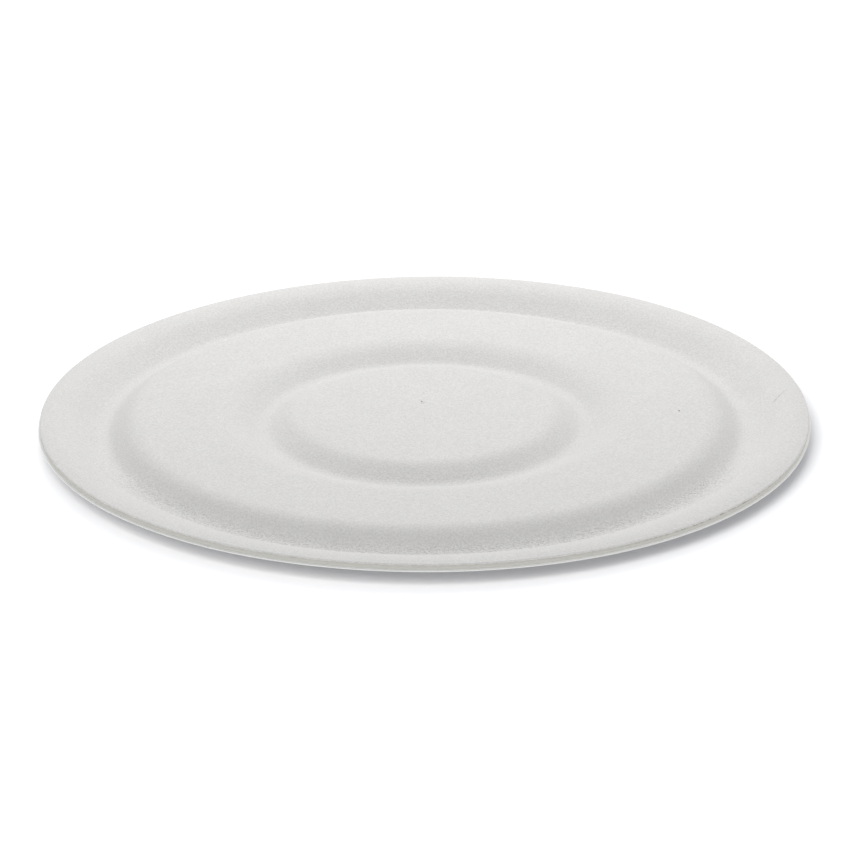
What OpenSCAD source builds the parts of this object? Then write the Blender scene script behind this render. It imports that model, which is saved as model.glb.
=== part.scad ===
// Round cake board, pressed in one piece from plant pulp: a flat middle, a ring groove,
// a flat middle ring, a deeper ring groove and an arched rim with a die-cut edge.
// Millimetres, Z up. It stands on the flat under its outer groove, which lies at Z = 0.

/* [Board] */
// Outside diameter, over the lip of the cut edge
board_d = 300; // [250:1:360]
// Thickness of the pressed sheet, the same everywhere
sheet_t = 2.9; // [1.5:0.1:3.6]

/* [Inner groove] */
// Diameter of the ring that the inner groove's floor follows
inner_ring_d = 125; // [80:1:170]
// Depth of the inner groove, from the middle flat down to its floor
inner_depth = 4.9; // [3.5:0.1:5.5]
// Slope of its wall on the side of the board's centre, in degrees
inner_near_slope = 26.5; // [20:0.5:36]
// Radius where that wall turns over to the middle flat
inner_near_r = 14; // [8:0.5:24]
// Slope of its wall on the side of the board's edge, in degrees
inner_far_slope = 24; // [18:0.5:27]
// Radius where that wall turns over to the middle ring
inner_far_r = 25; // [12:0.5:34]

/* [Outer groove] */
// Width from the board's edge to the ring that the outer groove's floor follows
rim_w = 24.8; // [23.4:0.1:30]
// Depth of the outer groove, from the middle ring down to its floor
outer_depth = 6.6; // [5.6:0.1:7.2]
// Slope of its wall on the side of the board's centre, in degrees
outer_near_slope = 36; // [24:0.5:40]
// Radius where that wall turns over to the middle ring
outer_near_r = 12.5; // [6:0.5:20]
// Slope of its wall on the side of the board's edge, in degrees
outer_far_slope = 28.5; // [27:0.5:34]

/* [Rim] */
// How far the crest of the rim stands above the middle flat
rim_lift = 0.5; // [0:0.1:1.1]
// Radius on which the rim arches over from the groove's wall down to the edge
rim_r = 25; // [14:0.5:27]

/* [Groove floors] */
// Width of the flat along each groove's floor
floor_w = 1.6; // [0.5:0.1:2.6]
// Radius of the bend on each side of that flat, on the upper face
floor_r = 4.6; // [2:0.1:6]

/* [Edge] */
// Radius that the press leaves along the top of the edge
edge_r = 0.8; // [0.3:0.1:1.2]
// How far the thin lip at the foot of the cut stands out
lip_w = 0.4; // [0.2:0.1:0.8]
// Height of that lip
lip_h = 0.4; // [0.2:0.1:0.8]

/* [Hidden] */

$fn = 180;
// Turn between two neighbouring points of a bend, in degrees
bend_step = 4;
board_r = board_d / 2;
middle_z = sheet_t + outer_depth;
inner_ring_r = inner_ring_d / 2;
outer_ring_r = board_r - rim_w;
cut_r = board_r - lip_w;
pulp_white = "#e4e1dd";

// A place on the sheet's upper face is [distance outward, height, slope in degrees].
function turns(a0, a1) = let (n = ceil(abs(a1 - a0) / bend_step)) [for (i = [0 : n]) a0 + (a1 - a0) * i / n];

// Bend that curls upward: its centre c lies above the sheet
function hollow(c, r, a0, a1) = [for (a = turns(a0, a1)) [c.x + r * sin(a), c.y - r * cos(a), a]];

// Bend that curls downward: its centre c lies below the sheet
function crown(c, r, a0, a1) = [for (a = turns(a0, a1)) [c.x - r * sin(a), c.y + r * cos(a), a]];

// How far out from the middle of its floor a groove's wall ends
function wall_run(slope, top_r, rise) =
    floor_w / 2 + (floor_r + top_r) * sin(slope) + (rise - (floor_r + top_r) * (1 - cos(slope))) / tan(slope);

// One side of a groove, going outward and up from its floor: floor bend, straight wall, bend at the top.
// That bend ends level, or goes on over its crest until it falls at the slope called over.
function wall(slope, top_r, rise, over = 0) =
    concat(
        hollow([floor_w / 2, floor_r], floor_r, 0, slope),
        crown([wall_run(slope, top_r, rise), rise - top_r], top_r, slope, -over)
    );

// The same places seen from the other side, so that they go inward and are listed from the flat down
function mirrored(places) = [for (i = [len(places) - 1 : -1 : 0]) [-places[i].x, places[i].y, -places[i].z]];

// A groove from its inward side to its outward side, with the middle of its floor at this place
function groove(inward, outward, at) =
    [for (p = concat(mirrored(inward), outward)) [p.x + at.x, p.y + at.y, p.z]];

// The outer groove's far wall arches over the rim's crest, down to the rounded top of the edge
crest_r = outer_ring_r + wall_run(outer_far_slope, rim_r, outer_depth + rim_lift);
arch_c = [crest_r, middle_z + rim_lift - rim_r];
edge_slope = asin((cut_r - edge_r - crest_r) / (rim_r - edge_r));
edge_c = arch_c + (rim_r - edge_r) * [sin(edge_slope), cos(edge_slope)];

upper_face = concat(
    [[0, middle_z, 0]],
    groove(
        wall(inner_near_slope, inner_near_r, inner_depth),
        wall(inner_far_slope, inner_far_r, inner_depth),
        [inner_ring_r, middle_z - inner_depth]
    ),
    groove(
        wall(outer_near_slope, outer_near_r, outer_depth),
        wall(outer_far_slope, rim_r, outer_depth + rim_lift, edge_slope),
        [outer_ring_r, sheet_t]
    )
);

// The under face keeps the sheet's thickness, measured square to the slope
under_face = [for (p = upper_face) [p.x + sheet_t * sin(p.z), p.y - sheet_t * cos(p.z)]];

// Foot of the cut, where the under face carries on straight to the board's edge
under_end = under_face[len(under_face) - 1];
foot_z = under_end.y - (board_r - under_end.x) * tan(edge_slope);

// Rounded top of the edge, the cut below it, and the lip at its foot
edge_round = crown(edge_c, edge_r, -edge_slope, -90);
edge = concat(
    [for (i = [1 : len(edge_round) - 1]) [edge_round[i].x, edge_round[i].y]],
    [[cut_r, foot_z + lip_h], [board_r, foot_z + lip_h / 2], [board_r, foot_z]]
);

function reversed(points) = [for (i = [len(points) - 1 : -1 : 0]) points[i]];

module board() {
    color(pulp_white)
        rotate_extrude()
            polygon(concat([for (p = upper_face) [p.x, p.y]], edge, reversed(under_face)));
}

board();
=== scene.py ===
# %% [markdown]
# # A cake board of pressed plant pulp
# The real object is one round sheet of white plant pulp, a little under three millimetres thick. A
# press has pushed two ring grooves down into it, and a die has cut its edge. The CAD part already
# has the right size and section. This lesson grows a finer skin over that section, with the small
# faults of real pulp, and gives it the finish that the photograph shows. The first lines load the
# CAD part as a fixed frame, so every later number is in its metres.

# %% Load the CAD part
import math

import bpy
import numpy as np
from mathutils import Euler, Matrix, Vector, noise


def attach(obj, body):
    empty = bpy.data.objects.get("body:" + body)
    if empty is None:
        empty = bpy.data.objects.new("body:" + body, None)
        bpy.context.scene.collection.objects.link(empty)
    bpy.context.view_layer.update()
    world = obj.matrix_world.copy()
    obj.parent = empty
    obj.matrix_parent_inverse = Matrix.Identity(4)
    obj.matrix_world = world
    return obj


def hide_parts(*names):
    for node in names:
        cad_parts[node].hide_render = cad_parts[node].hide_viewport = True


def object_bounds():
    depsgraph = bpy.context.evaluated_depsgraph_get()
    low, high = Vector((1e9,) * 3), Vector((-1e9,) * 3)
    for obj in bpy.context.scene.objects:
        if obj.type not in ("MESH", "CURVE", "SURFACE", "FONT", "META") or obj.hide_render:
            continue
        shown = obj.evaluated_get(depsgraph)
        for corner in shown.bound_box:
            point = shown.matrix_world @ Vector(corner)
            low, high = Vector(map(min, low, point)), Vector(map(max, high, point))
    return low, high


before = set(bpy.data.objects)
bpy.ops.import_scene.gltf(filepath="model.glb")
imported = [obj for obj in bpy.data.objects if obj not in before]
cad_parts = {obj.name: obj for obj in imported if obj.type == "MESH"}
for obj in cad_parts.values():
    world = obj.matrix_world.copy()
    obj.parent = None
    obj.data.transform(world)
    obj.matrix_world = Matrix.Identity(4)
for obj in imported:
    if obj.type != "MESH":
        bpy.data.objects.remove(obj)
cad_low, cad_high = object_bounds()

print("CAD box in metres:", tuple(cad_low), tuple(cad_high))

# %% [markdown]
# ## The section
# A pressed round thing is known once its section is known: how high the sheet stands at each
# distance from the axis. Typing that section in again would let it drift away from the CAD part, so
# it is read from the CAD part's own faces. Those that look up give the upper face, and those that
# look down give the under face. The steep faces of the cut edge look sideways and drop out.

# %% Read the section from the CAD part
MM = 0.001
cad_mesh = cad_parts["board"].data
board_radius = cad_high.x


def face_heights(side):
    """Heights of one face of the sheet, by distance from the axis; side is 1 for up, -1 for down."""
    heights = {}
    for polygon in cad_mesh.polygons:
        if polygon.normal.z * side < 0.6:
            continue
        for index in polygon.vertices:
            x, y, z = cad_mesh.vertices[index].co
            heights[round(math.hypot(x, y), 6)] = z
    distances = sorted(heights)
    return np.array(distances), np.array([heights[d] for d in distances])


upper_face = face_heights(1)
under_face = face_heights(-1)
print("section points above and below:", len(upper_face[0]), len(under_face[0]))

# %% [markdown]
# The CAD section is a chain of short straight lines, which is right for a drawing but would show as
# faint rings on a smooth render. Wet pulp can't hold such corners either. The height is therefore
# taken as an average over a millimetre to each side, which rounds the corners and keeps flats flat.

# %% Round the corners of the section
softening = 1.0 * MM
beside = np.linspace(-softening, softening, 9)
shares = np.cos(beside / softening * math.pi / 2.5)
shares /= shares.sum()


def height_on(face, distance):
    """Height of a face at this distance from the axis, averaged over its surroundings."""
    return float(np.interp(np.abs(distance + beside), *face) @ shares)


cake_height = height_on(upper_face, 0)
print("cake face at", round(cake_height / MM, 2), "mm")

# %% [markdown]
# ## The die-cut edge
# The photograph shows the edge well. The rim turns down, its skin rolls over and ends in a ragged
# line, because the die tears the last fibres. Below that line the cut face lies back a little in its
# shade, and at its foot a thin lip stands out and catches the light. Each row of points round the
# edge says how far it lies inside the outer radius, how high it is, how much it may stray, and which
# finish comes below it. Heights near the top are counted down from the rim, the others up from the
# foot of the cut.

# %% Shape of the edge
SKIN, CUT, LIP, SCREEN = 0, 1, 2, 3
edge_strip = 1.5 * MM
flat_reach = board_radius - edge_strip
rim_height = float(np.interp(flat_reach, *upper_face))
foot_height = float(np.interp(board_radius, *under_face))
cut_height = rim_height - foot_height

edge_rows = [
    (1.20 * MM, rim_height - 0.05 * MM, 0.00, SKIN),
    (0.95 * MM, rim_height - 0.11 * MM, 0.01 * MM, SKIN),
    (0.74 * MM, rim_height - 0.22 * MM, 0.03 * MM, SKIN),
    (0.60 * MM, rim_height - 0.38 * MM, 0.07 * MM, SKIN),
    (0.56 * MM, rim_height - 0.52 * MM, 0.13 * MM, CUT),
    (0.92 * MM, rim_height - 0.68 * MM, 0.13 * MM, CUT),
    (0.84 * MM, foot_height + 0.55 * cut_height, 0.07 * MM, CUT),
    (0.80 * MM, foot_height + 0.38 * cut_height, 0.07 * MM, CUT),
    (0.76 * MM, foot_height + 0.66 * MM, 0.06 * MM, LIP),
    (0.16 * MM, foot_height + 0.48 * MM, 0.05 * MM, LIP),
    (0.03 * MM, foot_height + 0.30 * MM, 0.03 * MM, LIP),
    (0.04 * MM, foot_height + 0.08 * MM, 0.02 * MM, LIP),
    (0.40 * MM, foot_height, 0.00, SCREEN),
]
print("edge rows:", len(edge_rows), "over a cut of", round(cut_height / MM, 2), "mm")

# %% [markdown]
# ## Rings of points
# The skin is a chain of rings, from the middle of the top out to the edge, round it, and back to the
# middle underneath. A ring near the axis needs few points and one at the rim needs many. If every
# ring had the same count, the middle would be a knot of slivers, so the count doubles each time the
# points would get too far apart.

# %% List the rings
ring_gap = 1.15 * MM
widest_step = 1.95 * MM


def points_round(distance, step):
    """A power of two that keeps neighbouring points of a ring no further apart than step."""
    return max(8, 2 ** math.ceil(math.log2(2 * math.pi * distance / step)))


upper_distances = np.linspace(0, flat_reach, round(flat_reach / ring_gap) + 1)[1:]
under_distances = np.linspace(flat_reach, 0, round(flat_reach / ring_gap / 2) + 1)[:-1]
edge_count = points_round(board_radius, widest_step / 2)

rings = [(d, height_on(upper_face, d), points_round(d, widest_step), 0.0, SKIN) for d in upper_distances]
rings += [(board_radius - inset, height, edge_count, stray, kind) for inset, height, stray, kind in edge_rows]
rings += [(d, height_on(under_face, d), points_round(d, widest_step), 0.0, SCREEN) for d in under_distances]
print("rings:", len(rings), "with up to", edge_count, "points each")

# %% [markdown]
# Real pulp is never quite true. Over a few centimetres its faces wander by less than a tenth of a
# millimetre, and the ragged rows of the edge stray much more over a millimetre or two. Both come
# from gradient noise, which gives the same answer for the same place on every run. Each pattern is
# read in a slice of its own, so that no two of them match. The rim has also sagged as the sheet dried,
# by 1.8 millimetres at the front right and by just over one at the back left, which a mean and two
# slow waves round the board describe. The broad faults and the sag only go down on the upper face, so
# that the skin stays inside the size that the CAD part sets.

# %% Small faults of the surface
wander = 0.09 * MM
wander_length = 34 * MM
broad_slice = 0.37
finer_slice = 5.1
under_share = 0.3
tear_length = 1.7 * MM
row_slices = 0.8
nick_slice = 9
nick_length = tear_length * 2.2
nick_limit = 0.35
sag_start = 128 * MM
sag_bend = 1.5
mean_sag = -0.713 * MM
sag_waves = [(1, -0.297 * MM, 0.142 * MM), (2, -0.518 * MM, 0.576 * MM)]


def rim_sag(distance, angle):
    """How far the rim has gone down here: nothing inside the outer groove, most at the edge."""
    share = max(0.0, (distance - sag_start) / (board_radius - sag_start)) ** sag_bend
    change = mean_sag
    for turns, along, across in sag_waves:
        change += along * math.cos(turns * angle) + across * math.sin(turns * angle)
    return share * min(0.0, change)


def sunk_in(x, y):
    """How far the skin lies inside the ideal sheet at this place."""
    broad = noise.noise(Vector((x, y, broad_slice)) / wander_length)
    finer = noise.noise(Vector((x, y, finer_slice)) / (wander_length / 3))
    return wander * min(1.0, max(0.0, 0.5 + 0.5 * broad + 0.2 * finer))


def torn(x, y, layer):
    """Stray of a ragged row, from -1 to 1: mostly small, with a nick here and there."""
    fine = noise.noise(Vector((x, y, layer * row_slices)) / tear_length)
    coarse = noise.noise(Vector((x, y, layer * row_slices + nick_slice)) / nick_length)
    nick = max(0.0, coarse - nick_limit) * 2.5
    return max(-1.0, min(1.0, 1.3 * fine - nick))


# %% Place the points
points = [(0.0, 0.0, height_on(upper_face, 0) - sunk_in(0, 0))]
edge_levels = [0.0]
ring_starts = []
for layer, (distance, height, count, stray, kind) in enumerate(rings):
    ring_starts.append(len(points))
    turned_under = layer >= len(upper_distances) + len(edge_rows)
    for step in range(count):
        angle = 2 * math.pi * step / count
        x = distance * math.cos(angle)
        y = distance * math.sin(angle)
        shift = torn(x, y, layer) * stray if stray else 0.0
        scale = (distance - abs(shift) * 0.5) / distance
        lift = sunk_in(x, y) * (under_share if turned_under else -1.0)
        lift += rim_sag(distance, angle)
        points.append((x * scale, y * scale, height + lift + shift))
        edge_levels.append((height - foot_height) / cut_height)
points.append((0.0, 0.0, height_on(under_face, 0)))
edge_levels.append(0.0)
print("points:", len(points))

# %% [markdown]
# ## Faces between the rings
# Two rings with the same count are joined by a band of four-sided faces. Where the count doubles,
# each long side of the coarser ring meets two short ones, so three triangles fill the gap. The order
# of the corners is the same all the way round the section, which keeps every face looking outward.
# Each point also keeps how far up the cut it lies, from 0 at the foot to 1 at the rim, because the
# finish of the cut face follows that and not the height over the floor.

# %% Join the rings
faces = []
finishes = []


def add_face(corners, kind):
    """Keeps one face and the finish that it will get."""
    faces.append(corners)
    finishes.append(kind)


first = ring_starts[0]
for step in range(rings[0][2]):
    add_face((0, first + step, first + (step + 1) % rings[0][2]), SKIN)

for layer in range(1, len(rings)):
    inner, outer = ring_starts[layer - 1], ring_starts[layer]
    inner_count, outer_count = rings[layer - 1][2], rings[layer][2]
    kind = rings[layer - 1][4]
    for step in range(min(inner_count, outer_count)):
        a = inner + step * (1 if inner_count <= outer_count else 2)
        b = outer + step * (1 if outer_count <= inner_count else 2)
        a_next = inner + (a - inner + 1) % inner_count
        b_next = outer + (b - outer + 1) % outer_count
        if inner_count == outer_count:
            add_face((a, b, b_next, a_next), kind)
        elif inner_count < outer_count:
            b_last = outer + (b - outer + 2) % outer_count
            add_face((a, b, b_next), kind)
            add_face((a, b_next, a_next), kind)
            add_face((a_next, b_next, b_last), kind)
        else:
            a_last = inner + (a - inner + 2) % inner_count
            add_face((a, b, a_next), kind)
            add_face((a_next, b, b_next), kind)
            add_face((a_next, b_next, a_last), kind)

last = ring_starts[-1]
for step in range(rings[-1][2]):
    add_face((last + step, len(points) - 1, last + (step + 1) % rings[-1][2]), SCREEN)
print("faces:", len(faces))

# %% Make the skin
skin_mesh = bpy.data.meshes.new("board_skin")
skin_mesh.from_pydata(points, [], faces)
skin_mesh.polygons.foreach_set("material_index", finishes)
skin_mesh.attributes.new("edge_level", "FLOAT", "POINT").data.foreach_set("value", edge_levels)
skin_mesh.shade_smooth()
board_skin = bpy.data.objects.new("board_skin", skin_mesh)
bpy.context.scene.collection.objects.link(board_skin)
triangles = sum(len(polygon.vertices) - 2 for polygon in skin_mesh.polygons)
print("triangles in the skin:", triangles)

# %% [markdown]
# ## The finish of pressed pulp
# Up close the sheet is a felt of short fibres: nearly white, almost without gloss, with a grain that
# shows where the light grazes it. All of it can come from nodes that read the place on the object, so
# nothing has to be unwrapped or painted, and the grain has its real size in millimetres. Two small
# helpers keep the node trees readable.

# %% Helpers for node trees
def add_node(tree, kind, **values):
    """Adds a node; a value goes to the input of that name, or to the node's own setting."""
    made = tree.nodes.new(kind)
    for name, value in values.items():
        label = name.replace("_", " ")
        if label in made.inputs:
            made.inputs[label].default_value = value
        else:
            setattr(made, name, value)
    return made


def start_finish(name, roughness, gloss):
    """A new finish with its shader, and the place on the object as the start of every pattern."""
    finish = bpy.data.materials.new(name)
    finish.use_nodes = True
    tree = finish.node_tree
    shader = tree.nodes["Principled BSDF"]
    shader.inputs["Roughness"].default_value = roughness
    shader.inputs["Specular IOR Level"].default_value = gloss
    place = add_node(tree, "ShaderNodeTexCoord").outputs["Object"]
    return finish, tree, shader, place


# %% [markdown]
# A noise texture's scale counts its features in one metre, so a grain of a given size has the scale
# one over that size. A bump node tilts the light without moving the surface. Its distance says how
# high the grain stands, from a few hundredths of a millimetre for fibres to most of one for pebbles.
# Chained bumps add up, coarse to fine. A colour ramp turns a pattern into shades.

# %% Helpers for patterns
def grain(tree, place, size, detail=3.0, roughness=0.55, stretch=None):
    """A noise pattern whose features are this large."""
    texture = add_node(tree, "ShaderNodeTexNoise", Scale=1 / size, Detail=detail, Roughness=roughness)
    if stretch:
        mapping = add_node(tree, "ShaderNodeMapping", Scale=stretch)
        tree.links.new(place, mapping.inputs["Vector"])
        place = mapping.outputs["Vector"]
    tree.links.new(place, texture.inputs["Vector"])
    return texture.outputs["Fac"]


def bump(tree, pattern, rise, before=None, mask=None):
    """Raises the surface by up to this much where the pattern is bright and the mask lets it."""
    node = add_node(tree, "ShaderNodeBump", Distance=rise, Strength=1.0)
    tree.links.new(pattern, node.inputs["Height"])
    if mask:
        tree.links.new(mask, node.inputs["Strength"])
    if before:
        tree.links.new(before, node.inputs["Normal"])
    return node.outputs["Normal"]


def shades(tree, pattern, stops):
    """A colour that runs through these stops, each a value of the pattern and a colour."""
    ramp = add_node(tree, "ShaderNodeValToRGB")
    elements = ramp.color_ramp.elements
    for index, (value, colour) in enumerate(stops):
        stop = elements[index] if index < 2 else elements.new(value)
        stop.position = value
        stop.color = (*colour, 1)
    tree.links.new(pattern, ramp.inputs["Fac"])
    return ramp.outputs["Color"]


# %% [markdown]
# Some patterns belong to one place only, so they need a mask: a number that is one there and zero
# elsewhere. A fade turns any measure into such a number. The measures used here are the distance from
# the board's axis, which picks out rings, the place along an axis, which picks out the front or the
# right, and the distance from a chosen point, which picks out a single mark. A point's distance can
# be stretched, which makes a round mark long.

# %% Helpers for masks
def fade(tree, measure, start, end, low=0.0, high=1.0):
    """A number that runs smoothly from low to high as the measure runs from start to end."""
    node = add_node(tree, "ShaderNodeMapRange", interpolation_type="SMOOTHSTEP")
    node.inputs["From Min"].default_value = start
    node.inputs["From Max"].default_value = end
    node.inputs["To Min"].default_value = low
    node.inputs["To Max"].default_value = high
    tree.links.new(measure, node.inputs["Value"])
    return node.outputs["Result"]


def combine(tree, operation, first, second):
    """Two numbers made into one, such as their product or the larger of them."""
    node = add_node(tree, "ShaderNodeMath", operation=operation)
    tree.links.new(first, node.inputs[0])
    tree.links.new(second, node.inputs[1])
    return node.outputs["Value"]


def length_of(tree, vector):
    """How long a vector is."""
    node = add_node(tree, "ShaderNodeVectorMath", operation="LENGTH")
    tree.links.new(vector, node.inputs[0])
    return node.outputs["Value"]


def from_axis(tree, place):
    """Distance from the board's axis: the length of the place with its height left out."""
    mapping = add_node(tree, "ShaderNodeMapping", Scale=(1, 1, 0))
    tree.links.new(place, mapping.inputs["Vector"])
    return length_of(tree, mapping.outputs["Vector"])


def ring_mask(tree, distance, inner, outer, soft):
    """One between two distances from the axis, zero away from them."""
    rising = fade(tree, distance, inner - soft, inner + soft)
    falling = fade(tree, distance, outer - soft, outer + soft, 1.0, 0.0)
    return combine(tree, "MULTIPLY", rising, falling)


def mark(tree, place, x, y, long, wide, turn=0.0):
    """One at a point of the board, zero at the edge of a round or a long mark about it."""
    mapping = add_node(tree, "ShaderNodeMapping", vector_type="TEXTURE")
    mapping.inputs["Location"].default_value = (x, y, 0)
    mapping.inputs["Rotation"].default_value = (0, 0, math.radians(turn))
    mapping.inputs["Scale"].default_value = (long, wide, 1)
    tree.links.new(place, mapping.inputs["Vector"])
    full_until = 0.35
    return fade(tree, length_of(tree, mapping.outputs["Vector"]), full_until, 1.0, 1.0, 0.0)


# %% [markdown]
# The photograph shows where the sheet is smooth and where it isn't. The flats have a fine even grain.
# In the grooves the fibres were stretched as the press went down, and the skin broke up into pebbles
# of about a millimetre, most of all on the outer side of the outer groove and toward the front. So
# the grain is the same everywhere, and the pebbles come through ring masks that fade to the back.

# %% The pressed upper skin
pulp_skin, tree, shader, place = start_finish("pressed_pulp", roughness=0.628, gloss=0.266)
cloud = grain(tree, place, 14 * MM, detail=5, roughness=0.6)
speckle = grain(tree, place, 0.75 * MM, detail=1.5, roughness=0.6)
cloud_tone = fade(tree, cloud, 0.2, 0.8, 0.0, 0.08)
speckle_tone = fade(tree, speckle, 0.3, 0.7, 0.05, 0.37)
mottle = combine(tree, "ADD", cloud_tone, speckle_tone)

distance = from_axis(tree, place)
axes = add_node(tree, "ShaderNodeSeparateXYZ")
tree.links.new(place, axes.inputs["Vector"])
front = fade(tree, axes.outputs["Y"], -65 * MM, -20 * MM, 1.0, 0.12)
outer_wall = combine(tree, "MULTIPLY", ring_mask(tree, distance, 121 * MM, 134 * MM, 3 * MM), front)
inner_wall = combine(tree, "MULTIPLY", ring_mask(tree, distance, 56 * MM, 66 * MM, 4 * MM), front)
pebbles = grain(tree, place, 0.9 * MM, detail=2.0, roughness=0.5)

relief = bump(tree, pebbles, 0.90 * MM, mask=outer_wall)
relief = bump(tree, pebbles, 0.35 * MM, before=relief, mask=inner_wall)
relief = bump(tree, grain(tree, place, 1.0 * MM), 0.17 * MM, before=relief)
relief = bump(tree, grain(tree, place, 0.5 * MM), 0.08 * MM, before=relief)
print("made", pulp_skin.name)

# %% [markdown]
# A few marks make this board the one in the photograph: a small pit near the middle with its raised
# lip, two pin-sized dimples behind it, a faint spot before it, a shallow scratch on the rim, and a
# dark speck of bark on the middle ring. Each row below gives where the mark is, how long and wide it
# is, how it is turned, how deep it goes and how much darker it is. A mark with numbers below zero
# stands up and is paler. The dark in the pit and the dimples is painted shade, and the paler raised
# parts beside them are painted highlight. The speck of bark is dark in its own colour.

# %% Marks of this board
marks = [
    (-1.0, 11.3, 0.9, 0.45, 90, 0.24, 0.60),
    (-0.8, 9.7, 1.0, 0.50, 90, -0.25, -0.60),
    (-0.1, 10.2, 1.4, 0.35, 65, 0.16, 0.22),
    (-0.2, 20.5, 0.9, 0.40, 90, 0.10, 0.22),
    (0.5, 20.3, 0.9, 0.40, 90, -0.08, -0.25),
    (1.0, 21.7, 0.9, 0.40, 90, 0.10, 0.26),
    (1.8, 22.3, 0.9, 0.40, 90, -0.08, -0.25),
    (-2.4, -1.7, 1.0, 0.50, 20, 0.08, 0.12),
    (139.0, 16.2, 9.4, 0.45, 60, 0.15, 0.15),
    (99.0, -0.8, 0.9, 0.45, 90, 0.00, 0.90),
]
# Painted highlight: the crests of the pebbles on the outer wall are made paler in colour, as where they catch
# the light.
painted_crest_highlights = combine(tree, "MULTIPLY", fade(tree, pebbles, 0.40, 0.62, 0.0, 0.5), outer_wall)
tone = combine(tree, "ADD", fade(tree, mottle, 0.0, 0.5, 0.5, 0.9), painted_crest_highlights)
# Painted shade and painted highlight: the pits and dimples get darker and paler patches of colour.
for x, y, long, wide, turn, depth, darker in marks:
    here = mark(tree, place, x * MM, y * MM, long * MM, wide * MM, turn)
    tone = combine(tree, "SUBTRACT", tone, fade(tree, here, 0.0, 1.0, 0.0, darker))
    if depth:
        relief = bump(tree, here, -depth * MM, before=relief)
tree.links.new(relief, shader.inputs["Normal"])

skin_stops = [(0.0, (0.20, 0.16, 0.12)), (0.5, (0.684, 0.674, 0.658)), (1.0, (0.820, 0.810, 0.796))]
tree.links.new(shades(tree, tone, skin_stops), shader.inputs["Base Color"])
print("marks:", len(marks))

# %% [markdown]
# The cut face shows the inside of the sheet: layers of fibre, a trace yellower than the skin. It is
# painted brighter toward its foot and darker toward its top, a painted shade under the rolled-over
# skin. Under the torn line at its top, and most on the right, it has dark brown spots, partly a brown
# tint of the fibres and partly painted shade in the torn hollows. The level kept with the points gives
# the change from foot to top, noise that is squeezed in height gives the layers, and a patchy noise
# that fades in toward +X gives the spots.

# %% The cut face
cut_pulp, tree, shader, place = start_finish("cut_pulp", roughness=0.9, gloss=0.25)
level = add_node(tree, "ShaderNodeAttribute", attribute_name="edge_level").outputs["Fac"]
axes = add_node(tree, "ShaderNodeSeparateXYZ")
tree.links.new(place, axes.inputs["Vector"])
# Painted shade: the cut face is made darker toward its top, under the rolled-over skin.
rise = fade(tree, level, 0.0, 0.85, 0.0, 0.6)
layers = fade(tree, grain(tree, place, 1.2 * MM, stretch=(1, 1, 4)), 0.3, 0.7, -0.08, 0.08)
spots = fade(tree, grain(tree, place, 2.2 * MM, detail=2), 0.44, 0.60, 0.0, 0.4)
near_top = fade(tree, level, 0.55, 0.75)
to_the_right = fade(tree, axes.outputs["X"], 50 * MM, 115 * MM, 0.1, 1.0)
# The spots are partly a brown tint and partly painted shade in the torn hollows.
browned_and_shaded = combine(tree, "MULTIPLY", combine(tree, "MULTIPLY", spots, near_top), to_the_right)
tone = combine(tree, "ADD", combine(tree, "ADD", rise, layers), browned_and_shaded)
cut_stops_with_painted_shade = [(0.0, (0.74, 0.730, 0.680)), (0.6, (0.57, 0.560, 0.510)), (1.0, (0.22, 0.19, 0.15))]
tree.links.new(shades(tree, tone, cut_stops_with_painted_shade), shader.inputs["Base Color"])
torn_fibre = bump(tree, grain(tree, place, 0.6 * MM, stretch=(1, 1, 3)), 0.10 * MM)
tree.links.new(torn_fibre, shader.inputs["Normal"])
print("made", cut_pulp.name)

# %% [markdown]
# The lip at the foot of the cut is a burr of loose fibre, pressed flat by the die. It shows as the
# brightest line on the board. A paler colour than the rest paints that highlight here, with a fine
# fibre grain.

# %% The lip
lip_pulp_painted_highlight, tree, shader, place = start_finish("lip_pulp_painted_highlight", roughness=0.8, gloss=0.25)
fibre = grain(tree, place, 0.7 * MM, detail=2)
# Painted highlight: the lip's colour is paler than the rest of the sheet.
lip_highlight_stops = [(0.3, (0.88, 0.875, 0.85)), (0.7, (0.96, 0.955, 0.935))]
tree.links.new(shades(tree, fibre, lip_highlight_stops), shader.inputs["Base Color"])
tree.links.new(bump(tree, fibre, 0.05 * MM), shader.inputs["Normal"])
print("made", lip_pulp_painted_highlight.name)

# %% [markdown]
# The photograph doesn't show the underside. Boards like this lie on a wire screen while the water is
# drawn out of them, and the screen leaves a fine woven print on that side. Two sets of waves at right
# angles give the weave. A wave texture repeats every pi tenths over its scale, so the scale is pi
# tenths over the gap between two wires. The pulp is left a little rougher and duller than above.

# %% The underside
screen_pulp, tree, shader, place = start_finish("screen_side_pulp", roughness=0.9, gloss=0.25)
cloud = grain(tree, place, 14 * MM, detail=5, roughness=0.6)
under_stops = [(0.35, (0.700, 0.688, 0.668)), (0.65, (0.722, 0.711, 0.694))]
tree.links.new(shades(tree, cloud, under_stops), shader.inputs["Base Color"])
wire_gap = 0.9 * MM
relief = bump(tree, grain(tree, place, 1.6 * MM), 0.06 * MM)
for direction in ("X", "Y"):
    wires = add_node(tree, "ShaderNodeTexWave", bands_direction=direction, Scale=math.pi / 10 / wire_gap)
    tree.links.new(place, wires.inputs["Vector"])
    relief = bump(tree, wires.outputs["Fac"], 0.03 * MM, before=relief)
tree.links.new(relief, shader.inputs["Normal"])
print("made", screen_pulp.name)

# %% Dress the skin
for finish in (pulp_skin, cut_pulp, lip_pulp_painted_highlight, screen_pulp):
    skin_mesh.materials.append(finish)
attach(board_skin, "root")
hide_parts("board")

# %% [markdown]
# ## The stage
# A product photograph on white needs a floor that burns out to white and still takes a soft shadow.
# A very pale plane does that, with a faint glow of its own, as paper on a light table has. It is
# see-through from below only, so that the underside of the board can be looked at as well.

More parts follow.
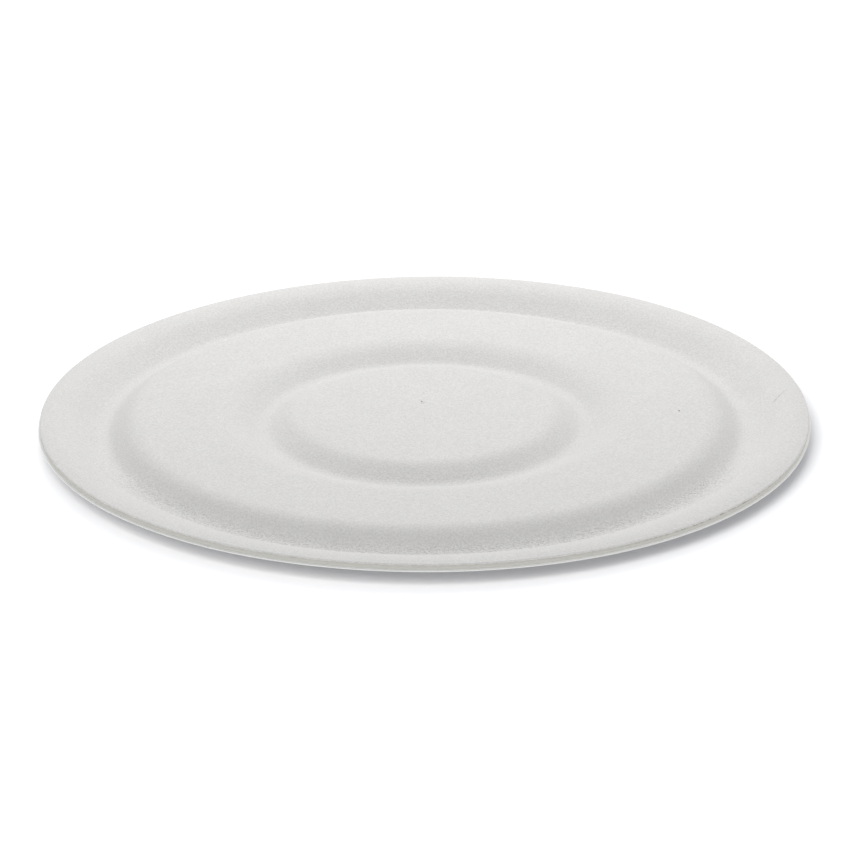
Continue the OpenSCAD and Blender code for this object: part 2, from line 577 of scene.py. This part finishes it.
# %% Floor
floor_reach = 5.0
floor_corners = [
    (-floor_reach, -floor_reach, 0),
    (floor_reach, -floor_reach, 0),
    (floor_reach, floor_reach, 0),
    (-floor_reach, floor_reach, 0),
]
floor_mesh = bpy.data.meshes.new("floor")
floor_mesh.from_pydata(floor_corners, [], [(0, 1, 2, 3)])
floor = bpy.data.objects.new("floor", floor_mesh)
bpy.context.scene.collection.objects.link(floor)

paper, tree, shader, place = start_finish("floor_paper", roughness=1.0, gloss=0.0)
shader.inputs["Base Color"].default_value = (0.78, 0.78, 0.788, 1)
shader.inputs["Emission Color"].default_value = (0.94, 0.985, 1.07, 1)
shader.inputs["Emission Strength"].default_value = 0.085
see_through = add_node(tree, "ShaderNodeBsdfTransparent")
choice = add_node(tree, "ShaderNodeMixShader")
side = add_node(tree, "ShaderNodeNewGeometry")
tree.links.new(side.outputs["Backfacing"], choice.inputs["Fac"])
tree.links.new(shader.outputs["BSDF"], choice.inputs[1])
tree.links.new(see_through.outputs["BSDF"], choice.inputs[2])
tree.links.new(choice.outputs["Shader"], tree.nodes["Material Output"].inputs["Surface"])
floor_mesh.materials.append(paper)

# %% [markdown]
# ## Light
# The walls that face the camera are darker than the flats, so the main lamp stands behind the board.
# It is a broad soft box close by, which is why the nearer flats are a shade darker than the farther
# ones. The rest is an even white surround, a touch cooler than the lamp.

# %% Surround and lamps
world = bpy.data.worlds.new("studio")
bpy.context.scene.world = world
world.use_nodes = True
surround = world.node_tree.nodes["Background"]
surround.inputs["Color"].default_value = (0.975, 0.985, 1.0, 1)
surround.inputs["Strength"].default_value = 0.652


def soft_box(name, side, power, reach, lift, turn):
    """A square lamp that looks at the board; lift and turn are degrees, turn to the left of behind."""
    data = bpy.data.lights.new(name, "AREA")
    data.shape = "SQUARE"
    data.size = side
    data.energy = power
    data.color = (1.0, 0.992, 0.975)
    box = bpy.data.objects.new(name, data)
    bpy.context.scene.collection.objects.link(box)
    lift, turn = math.radians(lift), math.radians(turn)
    over_floor = reach * math.cos(lift)
    box.location = (-over_floor * math.sin(turn), over_floor * math.cos(turn), reach * math.sin(lift))
    box.rotation_euler = (-box.location).to_track_quat("-Z", "Y").to_euler()
    print(name, "at", tuple(round(v, 3) for v in box.location))
    return box


soft_box("main_soft_box", side=0.709, power=2.56, reach=0.633, lift=48.1, turn=1.0)

# %% [markdown]
# The photograph's floor is brighter than the board, and yet the board isn't burnt out. A studio gets
# that with a lamp over the background that flags keep off the product. Light linking is the flag
# here: the second lamp lights only what is in its receiver collection, which holds the floor. It
# stands in front and to the left, so in that light the board casts its shadow to the right.

# %% Lamp for the floor alone
floor_box = soft_box("floor_soft_box", side=1.087, power=21.9, reach=1.728, lift=44.0, turn=154.3)
floor_only = bpy.data.collections.new("floor_only")
floor_only.objects.link(floor)
floor_box.light_linking.receiver_collection = floor_only

# %% [markdown]
# ## Camera
# The outline of a circle in a picture tells how steeply it is seen. Where the grooves' edges hide
# what lies behind them tells how far away the camera is, because a near camera sees the far side at a
# flatter angle than the near side. The lens then follows from the width of the board in the picture,
# and three small turns put its middle and the slight lean where the photograph has them. The picture
# is shown with the Standard view, which leaves the white of the floor white.

# %% Camera
picture_side = 850
pixels_per_mm = 2.572
camera_distance = 2.405
camera_height = math.radians(21.906)
middle_in_picture = (424.5, 412.1)
lean = math.radians(0.506)
focal_pixels = pixels_per_mm * camera_distance / MM

camera_data = bpy.data.cameras.new("camera")
camera_data.sensor_width = 36.0
camera_data.lens = focal_pixels / picture_side * camera_data.sensor_width
camera = bpy.data.objects.new("camera", camera_data)
bpy.context.scene.collection.objects.link(camera)
bpy.context.scene.camera = camera

middle = Vector((0, 0, cake_height))
back = Vector((0, -math.cos(camera_height), math.sin(camera_height)))
camera.location = middle + back * camera_distance
aim = (-back).to_track_quat("-Z", "Y")
look_down = math.atan((middle_in_picture[1] - picture_side / 2) / focal_pixels)
look_left = math.atan((middle_in_picture[0] - picture_side / 2) / focal_pixels)
trim = Euler((look_down, look_left, 0)).to_quaternion()
roll = Euler((0, 0, -lean)).to_quaternion()
camera.rotation_mode = "QUATERNION"
camera.rotation_quaternion = aim @ trim @ roll
bpy.context.scene.view_settings.view_transform = "Standard"
print("lens", round(camera_data.lens, 2), "mm")
